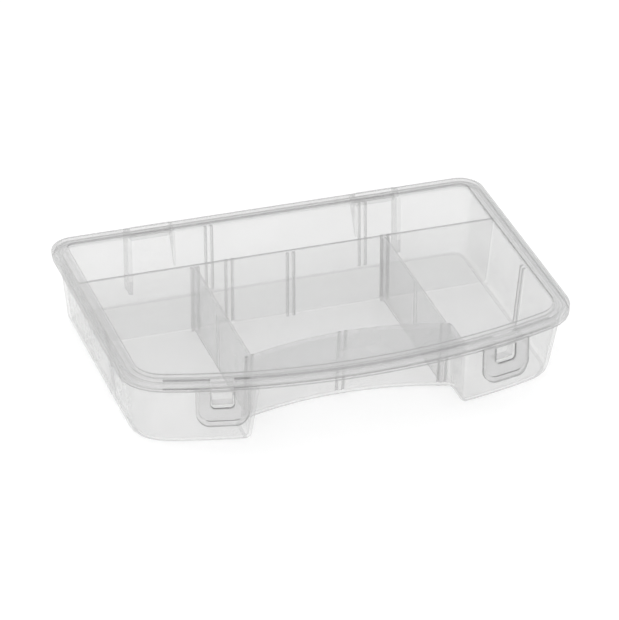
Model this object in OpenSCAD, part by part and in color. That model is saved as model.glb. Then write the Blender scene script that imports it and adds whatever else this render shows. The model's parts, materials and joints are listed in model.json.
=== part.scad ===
// Small parts organizer: a shallow compartment tray with a hinged see-through lid and two front latches.
// Millimetres, +Z up, +X to the right, -Y to the front. The origin is under the middle of the whole box.

/* [Box] */
// Width of the closed box, across the lid
lid_w = 200; // [190:1:210]
// Depth of the lid along its straight sides
side_d = 130.2; // [124:0.5:136]
// How far the curved front edge stands out in the middle
bulge = 18.2; // [16:0.2:20]
// Height of the closed box
box_h = 36.5; // [36:0.5:42]
// Radius of the lid's two rear corners, seen from above
corner_r = 11; // [10:0.5:13]
// Radius of the lid's two front corners
front_corner_r = 20; // [18:0.5:22]

/* [Lid] */
// Thickness of the lid's skirt and crown
lid_t = 1.2; // [1:0.05:1.3]
// Width of the raised border around the flat panel
border_w = 7.3; // [7:0.1:8]
// How far the border stands above the panel
border_h = 1.1; // [0.8:0.1:1.4]
// Width of the low step along the outer edge
step_w = 2; // [1.8:0.1:2.4]
// Drop of the low step below the border
step_h = 0.9; // [0.7:0.1:1]

/* [Tray] */
// Thickness of the tray's walls
wall_t = 1.4; // [1.2:0.1:1.5]
// Thickness of the floor
floor_t = 1.5; // [1.2:0.1:1.8]
// Outer radius between the walls and the floor
foot_r = 3; // [2.5:0.1:3.2]
// Gap from the lid's outer edge in to the top of the wall
wall_inset = 3.1; // [3:0.1:3.3]
// Draft of the side walls, in degrees
side_draft = 5.5; // [5:0.1:6.5]
// Draft of the back wall, in degrees
back_draft = 1.7; // [1:0.1:2.5]
// Slope of the front faces, in degrees
front_draft = 13.5; // [12:0.1:14]
// Thickness of the outer flange that the lid's skirt stands over
flange_t = 1.2; // [1:0.1:1.3]

/* [Finger recess] */
// Half the width of the recess at the floor
recess_half_w = 46.6; // [44:0.2:48]
// Distance from the middle of the front edge back to the recess wall, at the floor
recess_depth = 38.2; // [36:0.2:40]
// Radius of the curved recess wall
recess_r = 136; // [130:1:142]
// Slope of the recess wall, in degrees
recess_slope = 7; // [5:0.1:8]
// Draft of the two side faces of the recess, in degrees
recess_draft = 3.9; // [3:0.1:4.5]

/* [Compartments] */
// Distance from the back edge of the lid to the long wall
long_wall_back = 38.3; // [34:0.1:42]
// Distance of each removable divider from the middle
divider_x = 43.6; // [43:0.1:43.8]
// Thickness of a divider
divider_t = 1.3; // [1.1:0.1:1.3]
// Place of the spare rear slot, left of the middle
spare_slot_x = -27.2; // [-35:0.1:-20]
// Distance of the cross slots in front of the long wall
cross_slot_front = 39; // [30:0.5:42]
// Width of the gap between a slot's two ribs
slot_gap = 1.6; // [1.6:0.1:1.8]
// Width of one rib
rib_w = 1.3; // [1.2:0.1:1.5]
// How far a rib stands off its wall
rib_d = 1.4; // [1.2:0.1:1.6]

/* [Hinge] */
// Outer face of each outer hinge plate, from the middle
ear_x = 63.7; // [60:0.1:66]
// Thickness of the outer hinge plates
ear_t = 2; // [1.8:0.1:2.2]
// Inner face of each inner hinge plate, from the middle
gusset_x = 41.8; // [40:0.1:43]
// Thickness of the inner hinge plates
gusset_t = 1.1; // [1:0.1:1.3]
// Radius of the hinge pin
pin_r = 1.5; // [1.4:0.05:1.6]
// Radius of the round end of the hinge plates and of the knuckle
knuckle_r = 2.9; // [2.8:0.05:3]

/* [Latches] */
// Distance of each latch from the middle
latch_x = 62.2; // [60:0.2:64]
// Width of the latch flap
flap_w = 22.5; // [21:0.5:24]
// Length of the flap below the lid's skirt
flap_drop = 16.5; // [16:0.1:17.5]
// Thickness of the flap
flap_t = 1.3; // [1.2:0.1:1.4]
// Width of the window in the flap
window_w = 9.8; // [9.5:0.1:10.5]
// Height of the window
window_h = 7.9; // [7.6:0.1:8.2]

/* [Hidden] */
$fn = 96;
gap = 0.3;            // clearance between parts that move past each other
run_gap = 0.05;       // radial running clearance of the hinges
fit_gap = 0.02;       // clearance of the pins in their plates
slit = 0.01;          // thickness of the thin slices that the walls are lofted through

pin_behind = 1.4;                                    // hinge axis behind the lid's back edge
depth = side_d + bulge + pin_behind + knuckle_r;
front_y = -depth / 2;
back_y = front_y + bulge + side_d;
pin_y = back_y + pin_behind;
arc_r = (pow(lid_w / 2, 2) + pow(bulge, 2)) / (2 * bulge);
arc_y = front_y + arc_r;

panel_top = box_h - border_h;
panel_low = panel_top - lid_t;
tray_top = panel_low - gap;
wall_top = tray_top - 0.2;
inner_top = wall_top - 0.1;
skirt_low = box_h - 3.9;
flange_top = skirt_low - gap;
flange_low = flange_top - flange_t;
shelf_low = wall_top - wall_t;
pin_z = flange_low - 0.1;
knuckle_low_x = gusset_x + gusset_t + gap;
knuckle_len = ear_x - ear_t - gap - knuckle_low_x;

long_wall_y = back_y - long_wall_back;
cross_slot_y = long_wall_y - cross_slot_front;
recess_y = front_y + recess_depth;
tray_corner_r = corner_r - 3;
tray_front_r = front_corner_r - 3;
latch_turn = asin(latch_x / arc_r);

bead_r = 0.75;                    // round bead that the flap swings on
bead_y = -0.85;
bead_z = skirt_low + 0.8;
flap_back = -gap;
flap_top = bead_z - 0.5;
flap_low = skirt_low - flap_drop;
lip_z = flap_low + 2.1;
window_top = skirt_low - 0.8;
lug_w = window_w - 1;

function arc_points(cx, cy, r, from, to, steps) =
    [for (i = [0:steps]) let (a = from + (to - from) * i / steps) [cx + r * cos(a), cy + r * sin(a)]];

function swing(half_w, r, cr) = asin((half_w - cr) / (r - cr));

// Closed outline: straight back and sides, one curved front, rear corners of radius cr, front ones of radius fr
function outline(half_w, back, r, cr, fr) =
    let (side = half_w - cr, front_side = half_w - fr, turn = swing(half_w, r, fr),
         corner_y = arc_y - (r - fr) * cos(turn))
    concat(arc_points(0, arc_y, r, -90 - turn, -90 + turn, 28),
           arc_points(front_side, corner_y, fr, -90 + turn, 0, 12),
           arc_points(side, back - cr, cr, 0, 90, 10),
           arc_points(-side, back - cr, cr, 90, 180, 10),
           arc_points(-front_side, corner_y, fr, 180, 270 - turn, 12));

// The panel reaches half way into the border's inner leg
function panel_outline() =
    let (inset = border_w - lid_t / 3)
    outline(lid_w / 2 - inset, back_y - inset, arc_r - inset, corner_r - inset - 1.6,
            front_corner_r - inset - 1.6);

// The tray's wall at a height z, moved in from its outer face
function wall_outline(z, in) =
    let (fall = wall_top - z)
    outline(lid_w / 2 - wall_inset - fall * tan(side_draft) - in,
            back_y - wall_inset - fall * tan(back_draft) - in,
            arc_r - wall_inset - fall * tan(front_draft) - in,
            tray_corner_r - in, tray_front_r - in);

module wall_slice(z, in) {
    translate([0, 0, z]) linear_extrude(slit) polygon(wall_outline(z, in));
}

// A drafted body with a rounded foot
module tray_body(in, low, high, foot) {
    hull() {
        for (a = [0:18:90]) wall_slice(low + foot * (1 - sin(a)), in + foot * (1 - cos(a)));
        wall_slice(high - slit, in);
    }
}

// Sweeps a profile around the lid's outer edge; its x runs inwards and its y upwards
module around_edge() {
    turn = swing(lid_w / 2, arc_r, front_corner_r);
    side = lid_w / 2 - corner_r;
    corner_y = arc_y - (arc_r - front_corner_r) * cos(turn);
    back_corner_y = back_y - corner_r;
    translate([0, arc_y, 0]) rotate([0, 0, -90 - turn]) rotate_extrude(angle = 2 * turn, $fn = 360)
        translate([arc_r, 0]) mirror([1, 0]) children();
    translate([-side, back_y, 0]) rotate([90, 0, 90]) linear_extrude(2 * side)
        mirror([1, 0]) children();
    for (s = [-1, 1]) mirror([s < 0 ? 1 : 0, 0, 0]) {
        translate([lid_w / 2 - front_corner_r, corner_y, 0]) rotate([0, 0, turn - 90])
            rotate_extrude(angle = 90 - turn) translate([front_corner_r, 0]) mirror([1, 0]) children();
        translate([side, back_corner_y, 0]) rotate_extrude(angle = 90)
            translate([corner_r, 0]) mirror([1, 0]) children();
        translate([lid_w / 2, back_corner_y, 0]) rotate([90, 0, 0])
            linear_extrude(back_corner_y - corner_y) mirror([1, 0]) children();
    }
}

// Places a shape on the front edge, with -Y straight out of the curve
module on_front(side) {
    translate([0, arc_y, 0]) rotate([0, 0, side * latch_turn]) translate([0, -arc_r, 0]) children();
}

module along_x(length) {
    rotate([90, 0, 90]) translate([0, 0, -length / 2]) linear_extrude(length) children();
}

// The hollow under the shelf: skin is how much thicker the shape is than the hollow
module recess(skin, high) {
    low = -1;
    reach = recess_r - low * tan(recess_slope);
    intersection() {
        translate([0, recess_y - recess_r, low])
            cylinder(h = high - low, r1 = reach + skin,
                     r2 = reach + skin - (high - low) * tan(recess_slope), $fn = 360);
        translate([0, recess_y + 5, 0]) rotate([90, 0, 0]) linear_extrude(recess_depth + 20)
            polygon([[-recess_half_w - skin + low * tan(recess_draft), low],
                     [recess_half_w + skin - low * tan(recess_draft), low],
                     [recess_half_w + skin - high * tan(recess_draft), high],
                     [-recess_half_w - skin + high * tan(recess_draft), high]]);
    }
}

// Two ribs that hold the edge of a divider, standing off a wall face at y = 0 that leans back as it rises
module slot(lean, height) {
    for (s = [-1, 1]) translate([s * (slot_gap + rib_w) / 2 - rib_w / 2, 0, 0])
        rotate([-lean, 0, 0]) translate([0, -rib_d, 0]) cube([rib_w, rib_d + 0.9, height]);
}

module tray_slots() {
    rib_top = inner_top - 0.5;
    back_face = back_y - wall_inset - wall_t - wall_top * tan(back_draft);
    side_face = lid_w / 2 - wall_inset - wall_t - wall_top * tan(side_draft);
    for (x = [spare_slot_x, divider_x + 1]) {
        translate([x, back_face, 0]) slot(back_draft, rib_top);
        translate([x, long_wall_y + wall_t / 2, 0]) mirror([0, 1, 0]) slot(0, rib_top);
    }
    for (x = [-divider_x, 0, divider_x])
        translate([x, long_wall_y - wall_t / 2, 0]) slot(0, rib_top);
    for (s = [-1, 1])
        translate([s * side_face, cross_slot_y, 0]) rotate([0, 0, -s * 90]) slot(side_draft, inner_top - 3.9);
    difference() {
        for (x = [-divider_x, 0, divider_x])
            translate([x, recess_y + wall_t - pow(x, 2) / (2 * recess_r), 0])
                mirror([0, 1, 0]) slot(recess_slope, rib_top);
        recess(wall_t / 2, wall_top);
    }
}

// Hinge plates, seen from the side: a round end about the pin and a leg down the back wall
module plate_shape(leg) {
    root = back_y - wall_inset - 1;
    difference() {
        union() {
            translate([pin_y, pin_z]) circle(knuckle_r);
            polygon(concat([[root, flange_top], [pin_y, flange_top], [pin_y + knuckle_r, pin_z]],
                           leg, [[root, min([for (p = leg) p[1]])]]));
        }
        translate([pin_y, pin_z]) circle(pin_r + fit_gap);
    }
}

module hinge_plates() {
    root = back_y - wall_inset - 1;
    back = pin_y + knuckle_r;
    for (s = [-1, 1]) {
        translate([s * (ear_x - ear_t / 2), 0, 0]) along_x(ear_t) plate_shape([[back, 3.4]]);
        translate([s * (gusset_x + gusset_t / 2), 0, 0]) along_x(gusset_t)
            plate_shape([[back, pin_z - 1.5], [root, 14.5]]);
    }
}

// Catch behind the window of a latch, in one piece with the tray's front
module catch_lug() {
    low = window_top - window_h + 0.7;
    top = flange_low + 0.5;
    along_x(lug_w) polygon([[9, top], [0.5, top], [0.5, flange_low - 0.3], [0, flange_low - 0.8],
                            [0, low + 1.2], [0.6, low], [9, low]]);
}

// Flange around the tray, with the bead on top of the wall
module tray_rim_profile() {
    edge = 0.2;
    out = wall_inset - 0.25;
    in = wall_inset + wall_t - 0.3;
    polygon([[edge, flange_low], [in, flange_low], [in, tray_top], [out, tray_top],
             [out, flange_top], [edge, flange_top]]);
}

module tray() {
    color([0.93, 0.94, 0.94, 0.6]) {
        difference() {
            tray_body(0, 0, wall_top, foot_r);
            difference() {
                tray_body(wall_t, floor_t, wall_top + 1, foot_r - floor_t);
                recess(wall_t, wall_top);
            }
            recess(0, shelf_low);
        }
        intersection() {
            tray_body(0.5, 0.5, wall_top, foot_r);
            union() {
                translate([-lid_w / 2, long_wall_y - wall_t / 2, 0]) cube([lid_w, wall_t, inner_top]);
                tray_slots();
            }
        }
        difference() {
            around_edge() tray_rim_profile();
            for (s = [-1, 1]) translate([s * (knuckle_low_x + knuckle_len / 2), pin_y, pin_z])
                rotate([0, 90, 0]) cylinder(h = knuckle_len + 2 * gap, r = knuckle_r + gap, center = true);
        }
        hinge_plates();
        for (s = [-1, 1]) difference() {
            on_front(s) catch_lug();
            tray_body(wall_t / 2, floor_t, wall_top + 1, foot_r);
        }
    }
}

module lid_profile() {
    top = box_h;
    ledge = box_h - step_h;
    polygon(concat([[0, skirt_low]],
                   arc_points(1, ledge - 1, 1, 180, 90, 6),
                   [[step_w, ledge]],
                   arc_points(step_w + 0.4, top - 0.4, 0.4, 180, 90, 4),
                   arc_points(border_w - 0.6, top - 0.6, 0.6, 90, 0, 5),
                   [[border_w, panel_low], [border_w - lid_t, panel_low],
                    [border_w - lid_t, top - lid_t], [step_w + lid_t, top - lid_t],
                    [step_w + lid_t, ledge - lid_t], [lid_t, ledge - lid_t], [lid_t, skirt_low]]));
}

// Strap that runs over the lid's edge and holds a latch flap
module latch_strap() {
    difference() {
        union() {
            translate([-window_w / 2, -1.1, bead_z]) cube([window_w, 1.3, box_h - 0.3 - bead_z]);
            translate([-window_w / 2, -0.8, box_h - step_h - 0.15]) cube([window_w, 5, step_h + 0.05]);
        }
        translate([0, bead_y, bead_z]) rotate([0, 90, 0])
            cylinder(h = flap_w, r = bead_r + run_gap, center = true);
    }
}

module knuckle() {
    rotate([0, 90, 0]) cylinder(h = knuckle_len, r = knuckle_r, center = true);
    translate([-knuckle_len / 2, -pin_behind - lid_t - 0.2, 0])
        cube([knuckle_len, lid_t + pin_behind + 0.2, box_h - step_h - pin_z - 0.6]);
}

module lid() {
    color([0.9, 0.91, 0.92, 0.6]) {
        difference() {
            union() {
                around_edge() lid_profile();
                translate([0, 0, panel_low + 0.1]) linear_extrude(lid_t - 0.1) polygon(panel_outline());
                for (s = [-1, 1]) translate([s * (knuckle_low_x + knuckle_len / 2), pin_y, pin_z]) knuckle();
                for (s = [-1, 1]) on_front(s) latch_strap();
            }
            for (s = [-1, 1]) translate([s * (knuckle_low_x + knuckle_len / 2), pin_y, pin_z])
                rotate([0, 90, 0]) cylinder(h = knuckle_len + 1, r = pin_r + run_gap, center = true);
            for (s = [-1, 1]) {
                translate([s * (ear_x - ear_t / 2), pin_y, pin_z]) rotate([0, 90, 0])
                    cylinder(h = ear_t + 2 * gap, r = knuckle_r + 0.5, center = true);
                translate([s * (gusset_x + gusset_t / 2), pin_y, pin_z]) rotate([0, 90, 0])
                    cylinder(h = gusset_t + 2 * gap, r = knuckle_r + 0.5, center = true);
            }
        }
    }
}

// Round-cornered tongue shape, seen from the front; it hangs down from y = high
module tongue(width, low, high, r) {
    translate([-width / 2, low + r]) square([width, high - low - r]);
    translate([r - width / 2, low]) square([width - 2 * r, high - low]);
    for (s = [-1, 1]) translate([s * (width / 2 - r), low + r]) circle(r);
}

module facing_front(from, to) {
    translate([0, to, 0]) rotate([90, 0, 0]) linear_extrude(to - from) children();
}

module flap() {
    front = flap_back - flap_t;
    bead = 0.5;
    difference() {
        union() {
            facing_front(front, flap_back) tongue(flap_w, lip_z - 0.6, flap_top, 6);
            difference() {
                facing_front(front - bead, front) tongue(flap_w, lip_z - 0.6, flap_top, 6);
                facing_front(front - 2 * bead, front + bead)
                    tongue(flap_w - 2.4, lip_z + 0.2, flap_top + 2, 5.2);
            }
            intersection() {
                facing_front(front - 3, flap_back) tongue(flap_w, flap_low, lip_z + 1, 6);
                along_x(flap_w) polygon([[flap_back, lip_z + 0.6], [front, lip_z + 0.6],
                                         [front - 1.5, flap_low], [front - 0.2, flap_low]]);
            }
            translate([0, bead_y, bead_z]) rotate([0, 90, 0])
                cylinder(h = window_w, r = bead_r, center = true);
            translate([-window_w / 2, bead_y - 0.5, window_top]) cube([window_w, 1, bead_z - window_top]);
        }
        facing_front(front - 2, flap_back + 1)
            tongue(window_w, window_top - window_h, window_top, 2);
    }
}

module latch(side) {
    color([0.88, 0.89, 0.9, 0.7]) on_front(side) flap();
}

// Loose divider plate, with a cross slot on the face towards the side compartment
module divider(side) {
    clear = 0.15;
    rear = long_wall_y - wall_t / 2 - clear;
    low = floor_t + 0.05;
    drop = pow(divider_x + slot_gap / 2, 2) / (2 * recess_r);
    front_low = recess_y - drop + wall_t + clear + 0.2;
    front_high = front_low - (inner_top - floor_t) * tan(recess_slope);
    color([0.86, 0.87, 0.88, 0.7]) translate([side * divider_x, 0, 0]) {
        along_x(divider_t) polygon([[rear, low], [rear, inner_top], [front_high, inner_top], [front_low, low]]);
        for (s = [-1, 1])
            translate([side > 0 ? 0 : -rib_d, cross_slot_y + s * (slot_gap + rib_w) / 2 - rib_w / 2, 3])
                cube([rib_d, rib_w, inner_top - 7]);
    }
}

module hinge_pin(side) {
    inner = gusset_x - 0.2;
    length = ear_x + 0.2 - inner;
    color([0.85, 0.86, 0.87]) translate([side * (inner + length / 2), pin_y, pin_z]) rotate([0, 90, 0]) {
        cylinder(h = length - 0.6, r = pin_r, center = true);
        for (s = [-1, 1]) mirror([0, 0, s < 0 ? 1 : 0]) translate([0, 0, length / 2 - 0.3])
            cylinder(h = 0.3, r1 = pin_r, r2 = pin_r - 0.3);
    }
}

tray();
divider(-1);  // divider_left
divider(1);  // divider_right
hinge_pin(-1);  // hinge_pin_left
hinge_pin(1);  // hinge_pin_right
lid();
latch(-1);  // latch_left
latch(1);  // latch_right
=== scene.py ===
import json
import math

import bmesh
import bpy
from mathutils import Matrix, Vector


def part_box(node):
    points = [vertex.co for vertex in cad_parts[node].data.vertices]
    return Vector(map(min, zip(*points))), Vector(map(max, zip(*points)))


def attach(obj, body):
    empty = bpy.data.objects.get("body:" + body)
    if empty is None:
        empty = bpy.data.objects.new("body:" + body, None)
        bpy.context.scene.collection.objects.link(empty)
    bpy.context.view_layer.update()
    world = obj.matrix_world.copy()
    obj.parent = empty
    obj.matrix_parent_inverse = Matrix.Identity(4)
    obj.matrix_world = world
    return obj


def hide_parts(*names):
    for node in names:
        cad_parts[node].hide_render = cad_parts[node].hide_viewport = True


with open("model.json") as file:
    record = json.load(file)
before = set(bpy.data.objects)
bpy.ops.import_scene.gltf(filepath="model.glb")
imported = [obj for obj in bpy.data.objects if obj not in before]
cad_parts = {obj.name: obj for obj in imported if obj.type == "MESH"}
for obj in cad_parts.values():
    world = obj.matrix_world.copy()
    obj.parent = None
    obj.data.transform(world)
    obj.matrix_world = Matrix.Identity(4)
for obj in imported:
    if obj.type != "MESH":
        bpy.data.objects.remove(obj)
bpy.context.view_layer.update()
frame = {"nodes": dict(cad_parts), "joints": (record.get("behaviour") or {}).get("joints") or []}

# Lengths are in millimetres and angles in degrees. MM turns a length into Blender's metres.
MM = 0.001


def tan(angle):
    return math.tan(math.radians(angle))


def joint_place(name):
    joint = next(j for j in frame["joints"] if j["name"] == name)
    return Vector(joint["pos_m"]) / MM


# Places and outer sizes, from the frame
lid_low, lid_high = (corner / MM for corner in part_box("lid"))
_, PIN_Y, PIN_Z = joint_place("lid_hinge")
LID_W = lid_high.x - lid_low.x
BOX_H = lid_high.z
FRONT_Y = lid_low.y

# Lid
BULGE = 18.2
PIN_BEHIND = 1.4
CORNER_R = 11
FRONT_CORNER_R = 20
LID_T = 1.2
BORDER_W = 7.3
BORDER_H = 1.1
STEP_W = 2
STEP_H = 0.9
SKIRT_H = 3.9
BACK_Y = PIN_Y - PIN_BEHIND
ARC_R = ((LID_W / 2) ** 2 + BULGE ** 2) / (2 * BULGE)
ARC_Y = FRONT_Y + ARC_R
PANEL_TOP = BOX_H - BORDER_H
PANEL_LOW = PANEL_TOP - LID_T
SKIRT_LOW = BOX_H - SKIRT_H

# Tray
GAP = 0.3
WALL_T = 1.4
FLOOR_T = 1.5
FOOT_R = 3
WALL_INSET = 3.1
SIDE_DRAFT = 5.5
BACK_DRAFT = 1.7
FRONT_DRAFT = 13.5
FLANGE_T = 1.2
RIM_EDGE = 0.2          # gap from the lid's outer edge in to the tray's flange
CORNER_LESS = 3         # how much smaller the tray's corner radii are than the lid's
TRAY_CORNER_R = CORNER_R - CORNER_LESS
TRAY_FRONT_R = FRONT_CORNER_R - CORNER_LESS
TRAY_TOP = PANEL_LOW - GAP
WALL_TOP = TRAY_TOP - 0.2
INNER_TOP = WALL_TOP - 0.1
FLANGE_TOP = SKIRT_LOW - GAP
FLANGE_LOW = FLANGE_TOP - FLANGE_T
SHELF_LOW = WALL_TOP - WALL_T

# Finger recess
RECESS_HALF_W = 46.6
RECESS_DEPTH = 38.2
RECESS_Y = FRONT_Y + RECESS_DEPTH
RECESS_R = 136
RECESS_SLOPE = 7
RECESS_DRAFT = 3.9
BLOCK_R = 2.6
POCKET_R = 1.6

# Compartments
LONG_WALL_BACK = 38.3
CROSS_SLOT_FRONT = 39
LONG_WALL_Y = BACK_Y - LONG_WALL_BACK
CROSS_SLOT_Y = LONG_WALL_Y - CROSS_SLOT_FRONT
DIVIDER_X = 43.6
DIVIDER_T = 1.3
REAR_SLOTS = (-27.2, DIVIDER_X + 1)
SLOT_GAP = 1.6
RIB_W = 1.3
RIB_D = 1.4
RIB_DROP = 0.5          # from the top of the inner walls down to the top of the ribs
CROSS_RIB_DROP = 3.9    # the same at the cross slots in the side walls
PLATE_RIB_DROP = 4      # and at those on the dividers
PLATE_RIB_LOW = 3

# Hinge
EAR_X, EAR_T = 63.7, 2
GUSSET_X, GUSSET_T = 41.8, 1.1
PIN_R = 1.5
KNUCKLE_R = 2.9
EAR_LEG_LOW = 3.4       # lowest point of the outer plates
GUSSET_LEG_LOW = 14.5   # lowest point of the inner plates
KNUCKLE_LOW_X = GUSSET_X + GUSSET_T + GAP
KNUCKLE_LEN = EAR_X - EAR_T - GAP - KNUCKLE_LOW_X

# Latches
LATCH_X = 62.2
LATCH_TURN = math.degrees(math.asin(LATCH_X / ARC_R))
FLAP_W = 22.5
FLAP_T = 1.3
FLAP_R = 6
FLAP_DROP = 16.5
LIP_H = 2.1
LIP_FLARE = 1           # how far the foot of the lip stands forward
BEZEL_W = 1.2           # width of the flap's raised border
BEZEL_T = 0.5           # how far that border stands out
BED_R = 5.2             # lower corners of the bed inside it
FLAP_LOW = SKIRT_LOW - FLAP_DROP
LIP_Z = FLAP_LOW + LIP_H
WINDOW_W, WINDOW_H = 9.8, 7.9
WINDOW_R = 2
WINDOW_TOP = SKIRT_LOW - 0.8
BEAD_R = 0.75
BEAD_Y = -0.85
BEAD_Z = SKIRT_LOW + 0.8
FLAP_TOP = BEAD_Z - 0.5
LUG_W = WINDOW_W - 1
STRAP_OUT = 1.1         # how far a strap stands out of the lid's edge
STRAP_BACK = 4.2        # how far it runs back over the border
STRAP_SUNK = 0.2        # how deep it sits in the skirt

EDGE_R = 0.25           # small radius that the mould leaves on every edge
WALL_HEIGHTS = (8, 14, 20, 26)      # rings of the tray's wall between its foot and its rim
CORNER_STEPS = 12
FRONT_STEPS = 72
SMALL_STEPS = 5


# ---------------------------------------------------------------- outlines

def arc(cx, cy, r, start, end, steps):
    """Points on an arc, both ends included."""
    turns = [math.radians(start + (end - start) * i / steps) for i in range(steps + 1)]
    return [(cx + r * math.cos(t), cy + r * math.sin(t)) for t in turns]


def fillet(corners, steps):
    """Rounds a closed outline. Each corner is (x, y, radius), and radius 0 keeps the point."""
    points = []
    for i, (x, y, r) in enumerate(corners):
        here = Vector((x, y))
        if r <= 0:
            points.append((x, y))
            continue
        before = (Vector(corners[i - 1][:2]) - here).normalized()
        after = (Vector(corners[(i + 1) % len(corners)][:2]) - here).normalized()
        half = before.angle(after) / 2
        middle = here + (before + after).normalized() * (r / math.sin(half))
        first = here + before * (r / math.tan(half)) - middle
        last = here + after * (r / math.tan(half)) - middle
        sweep = first.angle_signed(last)
        for k in range(steps + 1):
            turned = first.copy()
            turned.rotate(Matrix.Rotation(-sweep * k / steps, 2))
            points.append(tuple(middle + turned))
    return points


def front_y(x, inset):
    """The curved front edge, moved in by inset."""
    return ARC_Y - math.sqrt((ARC_R - inset) ** 2 - x * x)


def lid_ring(inset, z):
    """The lid's outline, moved in by inset: straight back and sides, a curved front and round corners."""
    rear_r, front_r = max(CORNER_R - inset, 1), FRONT_CORNER_R - inset
    half, back, front = LID_W / 2 - inset, BACK_Y - inset, ARC_R - inset
    turn = math.degrees(math.asin((half - front_r) / (front - front_r)))
    corner_y = ARC_Y - (front - front_r) * math.cos(math.radians(turn))
    points = arc(0, ARC_Y, front, -90 - turn, -90 + turn, FRONT_STEPS)
    points += arc(half - front_r, corner_y, front_r, -90 + turn, 0, CORNER_STEPS)[1:]
    points += arc(half - rear_r, back - rear_r, rear_r, 0, 90, CORNER_STEPS)
    points += arc(rear_r - half, back - rear_r, rear_r, 90, 180, CORNER_STEPS)
    points += arc(front_r - half, corner_y, front_r, 180, 270 - turn, CORNER_STEPS)[:-1]
    return [(x, y, z) for x, y in points]


def recess_wall_y(x, z, inward):
    """The curved recess wall at a height, moved inward into the compartments."""
    return RECESS_Y - RECESS_R + math.sqrt((RECESS_R - z * tan(RECESS_SLOPE) + inward) ** 2 - x * x)


def recess_half(z):
    return RECESS_HALF_W - z * tan(RECESS_DRAFT)


def spread(start, end, count):
    """Evenly spaced values between two ends, which are left out."""
    return [start + (end - start) * (i + 1) / (count + 1) for i in range(count)]


BLOCK_POINTS = 8
BLOCK_END = 14
RECESS_POINTS = 30


def wall_ring(z, inward):
    """The tray's wall at a height, with the finger recess; inward is the distance from its outer face."""
    fall = WALL_TOP - z
    half = LID_W / 2 - WALL_INSET - fall * tan(SIDE_DRAFT) - inward
    back = BACK_Y - WALL_INSET - fall * tan(BACK_DRAFT) - inward
    inset = WALL_INSET + fall * tan(FRONT_DRAFT) + inward
    side = recess_half(z) + inward
    rear_r, front_r = TRAY_CORNER_R - inward, TRAY_FRONT_R - inward
    block_r = max(BLOCK_R - inward, 0.8)
    pocket_r = POCKET_R + inward

    def front(x):
        return (x, front_y(x, inset), 0)

    block = spread(side + 3, half - BLOCK_END, BLOCK_POINTS)
    hollow = spread(-side + 3, side - 3, RECESS_POINTS)
    corners = [(-half, front_y(half, inset), front_r)]
    corners += [front(-x) for x in reversed(block)]
    corners += [(-side, front_y(side, inset), block_r), (-side, recess_wall_y(side, z, inward), pocket_r)]
    corners += [(x, recess_wall_y(x, z, inward), 0) for x in hollow]
    corners += [(side, recess_wall_y(side, z, inward), pocket_r), (side, front_y(side, inset), block_r)]
    corners += [front(x) for x in block]
    corners += [(half, front_y(half, inset), front_r), (half, back, rear_r), (-half, back, rear_r)]
    return [(x, y, z) for x, y in fillet(corners, SMALL_STEPS)]


ROUND = SMALL_STEPS + 1                      # points on one rounded corner
RECESS_START = ROUND + BLOCK_POINTS          # first point of the recess in a wall_ring
RECESS_END = RECESS_START + 4 * ROUND + RECESS_POINTS


def rim_ring(inset, z):
    """The tray's rim, which runs straight on over the recess, with as many points as wall_ring."""
    half, back = LID_W / 2 - inset, BACK_Y - inset
    side = recess_half(SHELF_LOW)
    rear_r, front_r = CORNER_R - inset, FRONT_CORNER_R - inset
    block = spread(side + 3, LID_W / 2 - WALL_INSET - BLOCK_END, BLOCK_POINTS)
    near = spread(side + BLOCK_R, side - 3, 2 * ROUND)
    stations = [-x for x in near] + spread(-side + 3, side - 3, RECESS_POINTS) + list(reversed(near))
    corners = [(-half, front_y(half, inset), front_r)]
    corners += [(x, front_y(x, inset), 0) for x in [-x for x in reversed(block)] + stations + block]
    corners += [(half, front_y(half, inset), front_r), (half, back, rear_r), (-half, back, rear_r)]
    return [(x, y, z) for x, y in fillet(corners, SMALL_STEPS)]


def over_recess(outside, inside, spare=0):
    """One ring from two: inside gives the points over the recess, less a few spare ones at each end."""
    over = range(RECESS_START + spare, RECESS_END - spare)
    return [inside[i] if i in over else outside[i] for i in range(len(outside))]


# ---------------------------------------------------------------- meshes

# Finishes of a moulding, as material numbers on its faces. The edge finish is painted shade along edges;
# the dark finish is nearly black painted shade and painted dark reflection.
CLEAR, EDGE_SHADE, SATIN, PAINTED_SHADE = range(4)
blanks = [bpy.data.materials.new(name) for name in ("clear", "edge", "satin", "dark")]


def new_object(name, bm):
    """Turns a bmesh in millimetres into an object in metres."""
    bmesh.ops.scale(bm, vec=(MM, MM, MM), verts=bm.verts)
    mesh = bpy.data.meshes.new(name)
    bm.to_mesh(mesh)
    bm.free()
    for blank in blanks:
        mesh.materials.append(blank)
    piece = bpy.data.objects.new(name, mesh)
    bpy.context.scene.collection.objects.link(piece)
    return piece


def join_rings(bm, rings, closed, finish=lambda ring, point: CLEAR):
    """Quads between rings with the same number of points. closed joins the last ring to the first.
    finish gives the finish of the face that follows a ring at a point."""
    loops = [[bm.verts.new(p) for p in ring] for ring in rings]
    pairs = list(zip(loops, loops[1:] + loops[:1])) if closed else list(zip(loops, loops[1:]))
    for k, (low, high) in enumerate(pairs):
        for i in range(len(low)):
            j = (i + 1) % len(low)
            bm.faces.new((low[i], low[j], high[j], high[i])).material_index = finish(k, i)
    return loops


def clean(bm):
    bmesh.ops.remove_doubles(bm, verts=bm.verts, dist=0.002)
    bmesh.ops.dissolve_degenerate(bm, edges=bm.edges, dist=0.002)
    bmesh.ops.recalc_face_normals(bm, faces=bm.faces)


def cap(bm, loop):
    """Closes a loop with a face that is cut into triangles."""
    face = bm.faces.new(loop)
    bmesh.ops.triangulate(bm, faces=[face], ngon_method="BEAUTY")


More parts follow.
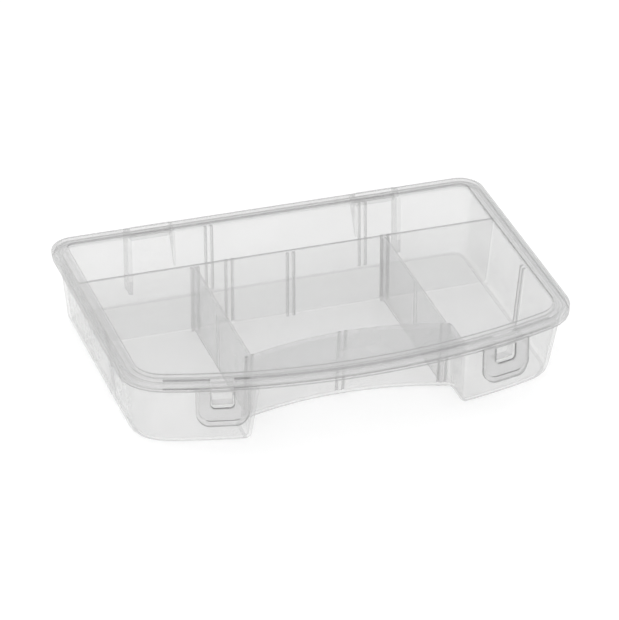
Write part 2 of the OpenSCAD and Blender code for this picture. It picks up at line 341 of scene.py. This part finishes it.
def prism(points, thickness, place, edge=EDGE_R, rim=EDGE_SHADE):
    """A flat piece: an outline in its own x and y, thickness along z, edges rounded, put in place by a
    matrix. rim is the finish of the faces that run round it, by default the painted edge shade."""
    bm = bmesh.new()
    half = thickness / 2
    loops = [[bm.verts.new((x, y, z)) for x, y in points] for z in (-half, half)]
    count = len(points)
    bm.faces.new(list(reversed(loops[0])))
    bm.faces.new(loops[1])
    for i in range(count):
        j = (i + 1) % count
        bm.faces.new((loops[0][i], loops[0][j], loops[1][j], loops[1][i])).material_index = rim
    bmesh.ops.recalc_face_normals(bm, faces=bm.faces)
    if edge:
        sharp = [e for e in bm.edges if e.calc_face_angle(0) > 0.6]
        bmesh.ops.bevel(bm, geom=sharp, offset=edge, segments=2, profile=0.5, affect="EDGES",
                        clamp_overlap=True, material=rim)
    bmesh.ops.transform(bm, matrix=place, verts=bm.verts)
    return new_object("part", bm)


def across_x(x):
    """Places an outline of (y, z) points across the X direction at x."""
    return Matrix(((0, 0, 1, x), (1, 0, 0, 0), (0, 1, 0, 0), (0, 0, 0, 1)))


def across_y(y):
    """Places an outline of (x, z) points across the Y direction at y."""
    return Matrix(((1, 0, 0, 0), (0, 0, 1, y), (0, 1, 0, 0), (0, 0, 0, 1)))


def round_bar(radius, length, place, edge=0.0, steps=40):
    """A bar along X with its ends rounded by edge."""
    bm = bmesh.new()
    half = length / 2
    stations = [(-half, radius - edge)] + [(-half + edge, radius)] * bool(edge)
    stations += [(-x, r) for x, r in reversed(stations)]
    rings = [[(x, r * math.cos(t), r * math.sin(t)) for t in (math.tau * k / steps for k in range(steps))]
             for x, r in stations]
    loops = join_rings(bm, rings, closed=False)
    bm.faces.new(list(reversed(loops[0])))
    bm.faces.new(loops[-1])
    bmesh.ops.recalc_face_normals(bm, faces=bm.faces)
    bmesh.ops.transform(bm, matrix=place, verts=bm.verts)
    return new_object("part", bm)


def on_front(side):
    """Puts a shape on the front edge at a latch, with -Y straight out of the curve."""
    return (Matrix.Translation((0, ARC_Y, 0)) @ Matrix.Rotation(math.radians(side * LATCH_TURN), 4, "Z")
            @ Matrix.Translation((0, -ARC_R, 0)))


def combine(piece, others, operation):
    """Adds the other pieces to this one, or cuts them out of it, and removes them."""
    group = bpy.data.collections.new("cutters")
    for other in others:
        bpy.context.scene.collection.objects.unlink(other)
        group.objects.link(other)
    step = piece.modifiers.new("combine", "BOOLEAN")
    step.operation = operation
    step.solver = "EXACT"
    step.operand_type = "COLLECTION"
    step.collection = group
    apply_modifiers(piece)
    for other in others:
        bpy.data.objects.remove(other)
    bpy.data.collections.remove(group)


def apply_modifiers(piece):
    bpy.context.view_layer.update()
    shaped = piece.evaluated_get(bpy.context.evaluated_depsgraph_get())
    mesh = bpy.data.meshes.new_from_object(shaped)
    piece.modifiers.clear()
    old, piece.data = piece.data, mesh
    bpy.data.meshes.remove(old)


def soften(piece, angle=28):
    """Smooth shading that keeps flats flat and real corners crisp."""
    bm = bmesh.new()
    bm.from_mesh(piece.data)
    bmesh.ops.remove_doubles(bm, verts=bm.verts, dist=0.002 * MM)
    bmesh.ops.dissolve_degenerate(bm, edges=bm.edges, dist=0.001 * MM)
    bm.to_mesh(piece.data)
    bm.free()
    piece.data.polygons.foreach_set("use_smooth", [True] * len(piece.data.polygons))
    piece.data.set_sharp_from_angle(angle=math.radians(angle))
    weights = piece.modifiers.new("flats", "WEIGHTED_NORMAL")
    weights.keep_sharp = True
    weights.weight = 80
    apply_modifiers(piece)


# ---------------------------------------------------------------- tray

def tray_shell():
    """The tray's floor, walls, rim and shelf as one lofted skin."""
    quarter = [math.radians(90 * i / 6) for i in range(7)]
    upstand_in = WALL_INSET + WALL_T - GAP
    rear = WALL_INSET + (WALL_TOP - FLANGE_LOW) * tan(FRONT_DRAFT)
    outer = [wall_ring(FOOT_R * (1 - math.sin(a)), FOOT_R * (1 - math.cos(a))) for a in reversed(quarter)]
    outer += [wall_ring(z, 0) for z in WALL_HEIGHTS]
    under = wall_ring(FLANGE_LOW, 0)
    outer.append(under)
    outer.append(over_recess(under, wall_ring(SHELF_LOW, 0), SMALL_STEPS))
    outer.append(over_recess(under, rim_ring(rear, SHELF_LOW), SMALL_STEPS))
    outer.append(over_recess(under, rim_ring(rear, FLANGE_LOW), SMALL_STEPS))
    rim_start = len(outer)
    out = WALL_INSET - 0.25
    for inset, z in fillet([(RIM_EDGE, FLANGE_LOW, EDGE_R), (RIM_EDGE, FLANGE_TOP, 0.35),
                            (out, FLANGE_TOP, 0.2),
                            (out, TRAY_TOP, EDGE_R), (upstand_in, TRAY_TOP, 0.15),
                            (upstand_in, FLANGE_LOW, 0)], 3)[:-1]:
        outer.append(rim_ring(inset, z))
    top = rim_ring(upstand_in, WALL_TOP)
    lip = wall_ring(WALL_TOP, WALL_T)
    inner = [top, over_recess(lip, top), lip]
    inner += [wall_ring(WALL_TOP - EDGE_R, WALL_T)]
    inner += [wall_ring(z, WALL_T) for z in reversed(WALL_HEIGHTS)]
    inside_r = FOOT_R - FLOOR_T
    inner += [wall_ring(FLOOR_T + inside_r * (1 - math.sin(a)), WALL_T + inside_r * (1 - math.cos(a)))
              for a in quarter]
    rings = outer + inner

    def finish(ring, point):
        z, next_z = rings[ring][0][2], rings[ring + 1][0][2]
        # The flange's underside takes painted edge shade
        if rim_start < ring < len(outer) - 1 and abs(z - FLANGE_LOW) < 0.3:
            return EDGE_SHADE
        if ring < 2 or z == next_z == WALL_TOP:
            return SATIN
        return CLEAR

    bm = bmesh.new()
    loops = join_rings(bm, rings, closed=False, finish=finish)
    cap(bm, loops[0])
    cap(bm, loops[-1])
    clean(bm)
    return new_object("tray_shell", bm)


def rib(x, face_low, face_high, direction, low, high, width=RIB_W, deep=RIB_D, sunk=0.7):
    """A rib across X, off a wall whose face is at face_low at its foot and at face_high at its top."""
    points = [(face_low - direction * sunk, low), (face_high - direction * sunk, high),
              (face_high + direction * deep, high), (face_low + direction * deep, low)]
    return prism(points, width, across_x(x))


def rib_pair(x, face, direction, high):
    """Two ribs that hold the edge of a divider. face(x, z) is the wall's face."""
    low = FLOOR_T / 2
    offset = (SLOT_GAP + RIB_W) / 2
    return [rib(x + s * offset, face(x + s * offset, low), face(x + s * offset, high), direction, low, high)
            for s in (-1, 1)]


def tray_inside():
    """The long wall and the ribs of every divider slot."""
    rib_top = INNER_TOP - RIB_DROP
    sunk = WALL_T / 2
    half_low = LID_W / 2 - WALL_INSET - WALL_TOP * tan(SIDE_DRAFT) - sunk
    half_high = LID_W / 2 - WALL_INSET - sunk
    low = FLOOR_T / 2
    parts = [prism([(-half_low, low), (half_low, low), (half_high, INNER_TOP), (-half_high, INNER_TOP)],
                   WALL_T, across_y(LONG_WALL_Y))]

    def back_face(x, z):
        return BACK_Y - WALL_INSET - WALL_T - (WALL_TOP - z) * tan(BACK_DRAFT)

    def recess_face(x, z):
        return recess_wall_y(x, z, WALL_T)

    for x in REAR_SLOTS:
        parts += rib_pair(x, back_face, -1, rib_top)
        parts += rib_pair(x, lambda x, z: LONG_WALL_Y + WALL_T / 2, 1, rib_top)
    for x in (-DIVIDER_X, 0, DIVIDER_X):
        parts += rib_pair(x, lambda x, z: LONG_WALL_Y - WALL_T / 2, -1, rib_top)
        parts += rib_pair(x, recess_face, 1, rib_top)
    side_low = LID_W / 2 - WALL_INSET - WALL_T - (WALL_TOP - low) * tan(SIDE_DRAFT)
    cross_top = INNER_TOP - CROSS_RIB_DROP
    side_high = side_low + (cross_top - low) * tan(SIDE_DRAFT)
    for s in (-1, 1):
        for t in (-1, 1):
            y = CROSS_SLOT_Y + t * (SLOT_GAP + RIB_W) / 2
            parts.append(prism([(s * (side_low + sunk), low), (s * (side_high + sunk), cross_top),
                                (s * (side_high - RIB_D), cross_top), (s * (side_low - RIB_D), low)],
                               RIB_W, across_y(y)))
    return parts


def hinge_plate(x, thickness, leg):
    root = BACK_Y - WALL_INSET - WALL_T / 2
    nose = arc(PIN_Y, PIN_Z, KNUCKLE_R, 0, 150, 24)
    points = nose + [(root, FLANGE_TOP)] + leg
    return prism(points, thickness, across_x(x), rim=SATIN)


def catch_lug(side):
    low = WINDOW_TOP - WINDOW_H + 0.7
    top = FLANGE_LOW + 0.5
    top_y, low_y = [WALL_INSET + (WALL_TOP - z) * tan(FRONT_DRAFT) + WALL_T / 2 for z in (top, low)]
    points = [(top_y, top), (0.5, top), (0.5, FLANGE_LOW - 0.3), (0, FLANGE_LOW - 0.8), (0, low + 1.2),
              (0.6, low), (low_y, low)]
    return prism(points, LUG_W, on_front(side) @ across_x(0), rim=SATIN)


def tray():
    shell = tray_shell()
    back = PIN_Y + KNUCKLE_R
    root = BACK_Y - WALL_INSET - WALL_T / 2
    parts = tray_inside()
    for s in (-1, 1):
        parts.append(hinge_plate(s * (EAR_X - EAR_T / 2), EAR_T,
                                 [(root, EAR_LEG_LOW), (back, EAR_LEG_LOW)]))
        parts.append(hinge_plate(s * (GUSSET_X + GUSSET_T / 2), GUSSET_T,
                                 [(root, GUSSET_LEG_LOW), (back, PIN_Z - 1.5)]))
        parts.append(catch_lug(s))
    combine(shell, parts, "UNION")
    shell.name = "tray_body"
    return shell


# ---------------------------------------------------------------- lid

# Shares of the front edge, from its left end, where the step and the skirt's foot get a nearly black
# painted dark reflection
DARK_STEP_PART = 1 / 5
DARK_SKIRT_PART = 1 / 14


def lid_shell():
    """The flat panel, the raised border with its low outer step, and the skirt, as one lofted skin."""
    ledge = BOX_H - STEP_H
    centre = BORDER_W + 3
    leg = BORDER_W - LID_T
    profile = fillet([(centre, PANEL_TOP, 0), (BORDER_W, PANEL_TOP, 0.3), (BORDER_W, BOX_H, 0.6),
                      (STEP_W, BOX_H, 0.4), (STEP_W, ledge, 0.2), (0, ledge, 1), (0, SKIRT_LOW, EDGE_R),
                      (LID_T, SKIRT_LOW, EDGE_R), (LID_T, ledge - LID_T, 0.3),
                      (STEP_W + LID_T, ledge - LID_T, 0.3), (STEP_W + LID_T, BOX_H - LID_T, 0.3),
                      (leg, BOX_H - LID_T, 0.3), (leg, PANEL_LOW, EDGE_R), (BORDER_W, PANEL_LOW, 0),
                      (BORDER_W + 0.1, PANEL_LOW + 0.1, 0), (centre, PANEL_LOW + 0.1, 0)], 4)

    def finish(ring, point):
        (inset, z), (next_inset, next_z) = profile[ring], profile[ring + 1]
        middle = (inset + next_inset) / 2
        if middle > BORDER_W + 0.05:
            return CLEAR
        # Painted shade: the border's inner edge, and along the front the step and the skirt's foot, with a
        # painted dark reflection at the left end
        if abs(middle - BORDER_W) < 0.2 and z > PANEL_TOP - 0.01:
            return EDGE_SHADE
        on_skirt = max(z, next_z) < SKIRT_LOW + EDGE_R + 0.01
        on_step = abs(middle - STEP_W) < 0.25 and z > ledge - 0.01
        if (on_skirt or on_step) and point < FRONT_STEPS:
            dark_part = DARK_STEP_PART if on_step else DARK_SKIRT_PART
            return PAINTED_SHADE if point < FRONT_STEPS * dark_part else EDGE_SHADE
        return SATIN

    bm = bmesh.new()
    loops = join_rings(bm, [lid_ring(inset, z) for inset, z in profile], closed=False, finish=finish)
    cap(bm, loops[0])
    cap(bm, loops[-1])
    clean(bm)
    return new_object("lid_body", bm)


def knuckle(x):
    """A hinge knuckle and the web that carries it behind the skirt."""
    root = BACK_Y - LID_T - 0.2
    web_top = BOX_H - STEP_H - 0.6
    shoulder = math.radians(60)
    web = [(root, PIN_Z), (root, web_top), (PIN_Y - 0.5, web_top),
           (PIN_Y + KNUCKLE_R * math.cos(shoulder), PIN_Z + KNUCKLE_R * math.sin(shoulder)), (PIN_Y, PIN_Z)]
    place = Matrix.Translation((x, PIN_Y, PIN_Z))
    barrel = round_bar(KNUCKLE_R, KNUCKLE_LEN, place, EDGE_R)
    return [barrel, prism(web, KNUCKLE_LEN, across_x(x), rim=CLEAR)]


def latch_strap(side):
    """The strap over the lid's edge that a latch flap hangs from."""
    top = BOX_H - 0.1
    low = BOX_H - STEP_H - 0.15
    outline = fillet([(-STRAP_OUT, BEAD_Z, 0), (STRAP_SUNK, BEAD_Z, 0), (STRAP_SUNK, low, 0),
                      (STRAP_BACK, low, 0), (STRAP_BACK, top, 0), (-STRAP_OUT, top, 0.9)], 6)
    return prism(outline, WINDOW_W, on_front(side) @ across_x(0), rim=SATIN)


def lid():
    shell = lid_shell()
    added, cut = [], []
    for s in (-1, 1):
        x = s * (KNUCKLE_LOW_X + KNUCKLE_LEN / 2)
        added += knuckle(x)
        added.append(latch_strap(s))
        cut.append(round_bar(PIN_R + 0.05, KNUCKLE_LEN + 1, Matrix.Translation((x, PIN_Y, PIN_Z))))
        bead = on_front(s) @ Matrix.Translation((0, BEAD_Y, BEAD_Z))
        cut.append(round_bar(BEAD_R + 0.05, FLAP_W, bead))
        for plate_x, plate_t in ((EAR_X - EAR_T / 2, EAR_T), (GUSSET_X + GUSSET_T / 2, GUSSET_T)):
            place = Matrix.Translation((s * plate_x, PIN_Y, PIN_Z))
            cut.append(round_bar(KNUCKLE_R + 0.5, plate_t + 2 * GAP, place))
    combine(shell, added, "UNION")
    combine(shell, cut, "DIFFERENCE")
    return shell


# ---------------------------------------------------------------- latches

def tongue(width, low, high, r, y):
    """A loop shaped like a tongue that hangs down, seen from the front, at a depth y."""
    half = width / 2
    points = arc(half - r, low + r, r, 0, -90, 12) + arc(r - half, low + r, r, -90, -180, 12)
    points += [(-half, high), (half, high)]
    return [(x, y, z) for x, z in points]


def latch(side):
    """A U-shaped flap with a raised border, a window over the catch and a lip that flares forwards."""
    back, front, border = -GAP, -GAP - FLAP_T, -GAP - FLAP_T - BEZEL_T
    e = EDGE_R

    def rim(inset, y):
        return tongue(FLAP_W - 2 * inset, FLAP_LOW + inset, FLAP_TOP - inset, FLAP_R - inset, y)

    def bed(inset, y):
        width = FLAP_W - 2 * BEZEL_W - 2 * inset
        return tongue(width, LIP_Z + 0.2 + inset, FLAP_TOP - 0.6 - inset, BED_R - inset, y)

    def window(inset, y):
        low, high = WINDOW_TOP - WINDOW_H + inset, WINDOW_TOP - inset
        return tongue(WINDOW_W - 2 * inset, low, high, WINDOW_R - inset, y)

    loops = [rim(e, back), rim(e / 4, back - e / 4), rim(0, back - e), rim(0, border + e),
             rim(e / 4, border + e / 4), rim(e, border), bed(-e, border), bed(-e / 4, border + e / 4),
             bed(0, border + e), bed(0.1, front), window(-e, front), window(-e / 4, front + e / 4),
             window(0, front + e), window(0, back - e), window(-e / 4, back - e / 4), window(-e, back)]
    bm = bmesh.new()
    # Painted edge shade on the flap's side wall and the window's bevels, and nearly black painted shade on
    # the window's through face
    shades = [SATIN, SATIN, EDGE_SHADE] + [SATIN] * 7 + [EDGE_SHADE, EDGE_SHADE, PAINTED_SHADE, EDGE_SHADE, EDGE_SHADE, SATIN]
    join_rings(bm, loops, closed=True, finish=lambda ring, point: shades[ring])
    for face in bm.faces:
        middle = face.calc_center_median()
        # Painted shade: a nearly black band on the border's face over the lip's foot; the top band stays
        # satin
        if middle.z < LIP_Z + 0.6 and border + 0.05 < middle.y < front - 0.05:
            face.material_index = PAINTED_SHADE
        elif middle.z > WINDOW_TOP - 0.3:
            face.material_index = SATIN
    bend_z = LIP_Z + 0.6
    for vert in bm.verts:
        vert.co.y -= LIP_FLARE * max(bend_z - vert.co.z, 0) / (bend_z - FLAP_LOW)
    clean(bm)
    place = on_front(side)
    bmesh.ops.transform(bm, matrix=place, verts=bm.verts)
    flap = new_object("latch_left_flap" if side < 0 else "latch_right_flap", bm)
    neck = [(BEAD_Y - 0.5, WINDOW_TOP + 0.4), (BEAD_Y + 0.5, WINDOW_TOP + 0.4), (BEAD_Y + 0.5, BEAD_Z),
            (BEAD_Y - 0.5, BEAD_Z)]
    combine(flap, [round_bar(BEAD_R, WINDOW_W, place @ Matrix.Translation((0, BEAD_Y, BEAD_Z)), 0.1),
                   prism(neck, WINDOW_W, place @ across_x(0), 0.1, SATIN)], "UNION")
    return flap


# ---------------------------------------------------------------- dividers and pins

def divider(side):
    """A loose plate with a slot for a cross divider on its outer face."""
    name = "divider_left" if side < 0 else "divider_right"
    low_corner, high_corner = (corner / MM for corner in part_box(name))
    rear, front, low, high = high_corner.y, low_corner.y, low_corner.z, high_corner.z
    slope = (high - low) * tan(RECESS_SLOPE)
    outline = fillet([(rear, low, 0.6), (rear, high, 0.8), (front, high, 0.8),
                      (front + slope, low, 0.6)], 4)
    x = side * DIVIDER_X
    rib_top = INNER_TOP - PLATE_RIB_DROP
    plate = prism(outline, DIVIDER_T, across_x(x), rim=SATIN)
    plate.name = name + "_plate"
    parts = []
    for s in (-1, 1):
        y = CROSS_SLOT_Y + s * (SLOT_GAP + RIB_W) / 2
        inner, outer = x, x + side * RIB_D
        corners = [(inner, PLATE_RIB_LOW), (outer, PLATE_RIB_LOW), (outer, rib_top), (inner, rib_top)]
        parts.append(prism(corners, RIB_W, across_y(y), rim=SATIN))
    combine(plate, parts, "UNION")
    return plate


def hinge_pin(side):
    name = "hinge_pin_left" if side < 0 else "hinge_pin_right"
    low, high = (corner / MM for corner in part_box(name))
    middle = Matrix.Translation((low + high) / 2)
    pin = round_bar(PIN_R, high.x - low.x, middle, 0.3)
    pin.name = name + "_rod"
    return pin


def place_piece(piece, node, body):
    """The piece stands for a CAD node, moves with its body and takes its finish."""
    soften(piece)
    material_slot = frame["nodes"][node].material_slots[0].material.name.split(".")[0]
    for i, look in enumerate(looks[material_slot]):
        piece.data.materials[i] = look
    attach(piece, body)
    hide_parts(node)


# ---------------------------------------------------------------- materials

def math_node(nodes, operation, *values):
    """A Math node with its fixed inputs set. None leaves an input free for a link."""
    node = nodes.new("ShaderNodeMath")
    node.operation = operation
    for socket, value in zip(node.inputs, values):
        if value is not None:
            socket.default_value = value
    return node


def remap(tree, source, low, high, to_low, to_high):
    """Stretches a texture's values from low..high to to_low..to_high."""
    node = tree.nodes.new("ShaderNodeMapRange")
    for socket, value in zip(list(node.inputs)[1:5], (low, high, to_low, to_high)):
        socket.default_value = value
    tree.links.new(source, node.inputs["Value"])
    return node.outputs["Result"]


def noise(tree, place, scale, detail, stretch=None, turn=0.0):
    """A noise texture on the piece. stretch makes its grains long; turn turns them about Z, in degrees."""
    mapping = tree.nodes.new("ShaderNodeMapping")
    mapping.inputs["Scale"].default_value = stretch or (1, 1, 1)
    mapping.inputs["Rotation"].default_value = (0, 0, math.radians(turn))
    tree.links.new(place, mapping.inputs["Vector"])
    texture = tree.nodes.new("ShaderNodeTexNoise")
    texture.inputs["Scale"].default_value = scale
    texture.inputs["Detail"].default_value = detail
    tree.links.new(mapping.outputs["Vector"], texture.inputs["Vector"])
    return texture.outputs["Fac"]


def plastic(name, clear, grey, rough, grain=0.06, wear=0.2):
    """Milky see-through plastic. clear is the share that passes straight through one face met head on,
    grey the lightness of the haze in it, grain the height of its moulded texture and wear the show of
    scratches."""
    mat = bpy.data.materials.new(name)
    mat.use_nodes = True
    tree = mat.node_tree
    nodes, link = tree.nodes, tree.links.new
    body = nodes["Principled BSDF"]
    body.inputs["IOR"].default_value = 1.49
    place = nodes.new("ShaderNodeTexCoord").outputs["Object"]

    # Haze that drifts through the sheet, as the melt flowed
    flow = noise(tree, place, 26, 3, (1, 0.6, 1.4), 20)
    haze = nodes.new("ShaderNodeMix")
    haze.data_type = "RGBA"
    haze.inputs["A"].default_value = (grey * 0.95, grey * 0.955, grey * 0.955, 1)
    haze.inputs["B"].default_value = (grey * 1.04, grey * 1.035, grey * 1.03, 1)
    link(remap(tree, flow, 0.3, 0.7, 0, 1), haze.inputs["Factor"])
    link(haze.outputs["Result"], body.inputs["Base Color"])

    # Hair scratches from handling, in two directions
    first = remap(tree, noise(tree, place, 1, 1, (25, 1300, 25), 33), 0.76, 0.84, 0, 1)
    second = remap(tree, noise(tree, place, 1, 1, (1500, 30, 25), -14), 0.76, 0.84, 0, 1)
    marks = math_node(nodes, "MAXIMUM")
    link(first, marks.inputs[0])
    link(second, marks.inputs[1])
    scratched = math_node(nodes, "MULTIPLY", None, wear)
    link(marks.outputs[0], scratched.inputs[0])

    # Sheen: uneven polish of the mould, dulled where it is scratched
    polish = remap(tree, noise(tree, place, 140, 2), 0.3, 0.7, rough * 0.8, rough * 1.25)
    dull = math_node(nodes, "ADD")
    dull.use_clamp = True
    link(polish, dull.inputs[0])
    link(scratched.outputs[0], dull.inputs[1])
    link(dull.outputs[0], body.inputs["Roughness"])

    # Fine grain of the mould and slight sink waves
    fine = noise(tree, place, 2600, 2)
    bump = nodes.new("ShaderNodeBump")
    bump.inputs["Strength"].default_value = grain
    bump.inputs["Distance"].default_value = 0.0002
    link(fine, bump.inputs["Height"])
    waves = nodes.new("ShaderNodeBump")
    waves.inputs["Strength"].default_value = 0.03
    waves.inputs["Distance"].default_value = 0.0005
    link(noise(tree, place, 70, 1), waves.inputs["Height"])
    link(bump.outputs["Normal"], waves.inputs["Normal"])
    link(waves.outputs["Normal"], body.inputs["Normal"])

    # Light passes less of the sheet the more it is slanted, and less where it is hazy or scratched
    facing = nodes.new("ShaderNodeLayerWeight")
    facing.inputs["Blend"].default_value = 0.5
    cosine = math_node(nodes, "SUBTRACT", 1.08)
    link(facing.outputs["Facing"], cosine.inputs[1])
    length = math_node(nodes, "DIVIDE", 1)
    link(cosine.outputs[0], length.inputs[1])
    opening = remap(tree, flow, 0.3, 0.7, min(clear * 1.015, 0.99), clear * 0.985)
    passed = math_node(nodes, "POWER")
    link(opening, passed.inputs[0])
    link(length.outputs[0], passed.inputs[1])
    cloud = math_node(nodes, "MULTIPLY_ADD", None, -0.25, 1)
    link(scratched.outputs[0], cloud.inputs[0])
    share = math_node(nodes, "MULTIPLY")
    link(passed.outputs[0], share.inputs[0])
    link(cloud.outputs[0], share.inputs[1])
    hole = nodes.new("ShaderNodeBsdfTransparent")
    mix = nodes.new("ShaderNodeMixShader")
    link(share.outputs[0], mix.inputs[0])
    link(body.outputs[0], mix.inputs[1])
    link(hole.outputs[0], mix.inputs[2])
    link(mix.outputs[0], nodes["Material Output"].inputs["Surface"])
    return mat


def finishes(name, clear, grey, rough):
    """The finishes of one moulding: clear faces, edges darkened as painted shade, satin borders, and nearly
    black painted shade and painted dark reflection at steps and gaps.
    """
    return [plastic(name + "_clear", clear, grey, rough),
            # Painted shade along edges: darker and less clear, with heavier scratches
            plastic(name + "_edge", clear - 0.3, grey * 0.45, rough + 0.1, grain=0.03, wear=0.6),
            plastic(name + "_satin", clear - 0.12, grey * 0.92, rough + 0.2, grain=0.2),
            # Nearly black painted shade and painted dark reflection
            plastic(name + "_dark", clear - 0.45, grey * 0.2, rough + 0.1, grain=0.03, wear=0.6)]


# ---------------------------------------------------------------- studio

# The photograph's view, as fitted to the outlines of the lid
VIEW_AZIMUTH, VIEW_ELEVATION = -18.0, 29.65
VIEW_TARGET = (10.19, 36.71, 0)
VIEW_DISTANCE = 1897.5
LENS, SENSOR_W = 248.94, 36

# The floor is a lit photo table, in metres. It glows a little, which keeps the shadow faint.
FLOOR_SIZE = 8
FLOOR_DROP = 0.0002     # keeps it clear of the tray's foot
FLOOR_GREY, FLOOR_GLOW = 0.58, 0.42


def camera():
    azimuth, elevation = math.radians(VIEW_AZIMUTH), math.radians(VIEW_ELEVATION)
    target = Vector(VIEW_TARGET) * MM
    back = Vector((math.sin(azimuth) * math.cos(elevation),
                   -math.cos(azimuth) * math.cos(elevation), math.sin(elevation)))
    data = bpy.data.cameras.new("camera")
    data.sensor_width = SENSOR_W
    data.lens = LENS
    data.clip_end = 20
    eye = bpy.data.objects.new("camera", data)
    eye.location = target + back * VIEW_DISTANCE * MM
    eye.rotation_euler = (-back).to_track_quat("-Z", "Y").to_euler()
    bpy.context.scene.collection.objects.link(eye)
    bpy.context.scene.camera = eye


def floor():
    bpy.ops.mesh.primitive_plane_add(size=FLOOR_SIZE)
    plane = bpy.context.object
    plane.name = "floor"
    mat = bpy.data.materials.new("floor")
    mat.use_nodes = True
    shader = mat.node_tree.nodes["Principled BSDF"]
    shader.inputs["Base Color"].default_value = (FLOOR_GREY, FLOOR_GREY, FLOOR_GREY, 1)
    shader.inputs["Roughness"].default_value = 0.8
    shader.inputs["Emission Color"].default_value = (1, 1, 1, 1)
    shader.inputs["Emission Strength"].default_value = FLOOR_GLOW
    plane.data.materials.append(mat)
    plane.location.z = -FLOOR_DROP


def area(name, place, aim, size, watts):
    data = bpy.data.lights.new(name, "AREA")
    data.shape = "RECTANGLE"
    data.size, data.size_y = size
    data.energy = watts
    lamp = bpy.data.objects.new(name, data)
    lamp.location = place
    lamp.rotation_euler = (Vector(aim) - Vector(place)).to_track_quat("-Z", "Y").to_euler()
    bpy.context.scene.collection.objects.link(lamp)


def lights():
    world = bpy.data.worlds.new("studio")
    world.use_nodes = True
    world.node_tree.nodes["Background"].inputs["Color"].default_value = (1, 1, 1, 1)
    world.node_tree.nodes["Background"].inputs["Strength"].default_value = 1.0
    bpy.context.scene.world = world
    area("front", (-0.35, -1.1, 0.4), (0, 0, 0), (1.2, 0.5), 5)
    area("key", (-0.5, 0.2, 1.1), (0, 0, 0), (0.8, 0.8), 1.5)


def render_settings():
    scene = bpy.context.scene
    scene.view_settings.view_transform = "Standard"
    scene.cycles.transparent_max_bounces = 64


camera()
floor()
lights()
render_settings()
looks = {
    "tray_plastic": finishes("tray_plastic", clear=0.888, grey=0.61, rough=0.25),
    "lid_plastic": finishes("lid_plastic", clear=0.905, grey=0.52, rough=0.15),
    "divider_plastic": finishes("divider_plastic", clear=0.885, grey=0.6, rough=0.25),
    "latch_plastic": finishes("latch_plastic", clear=0.87, grey=0.5, rough=0.2),
    "pin_plastic": finishes("pin_plastic", clear=0.85, grey=0.8, rough=0.25),
}
place_piece(tray(), "tray", "tray")
place_piece(lid(), "lid", "lid")
for side, word in ((-1, "left"), (1, "right")):
    place_piece(latch(side), "latch_" + word, "latch_" + word)
    place_piece(divider(side), "divider_" + word, "tray")
    place_piece(hinge_pin(side), "hinge_pin_" + word, "tray")
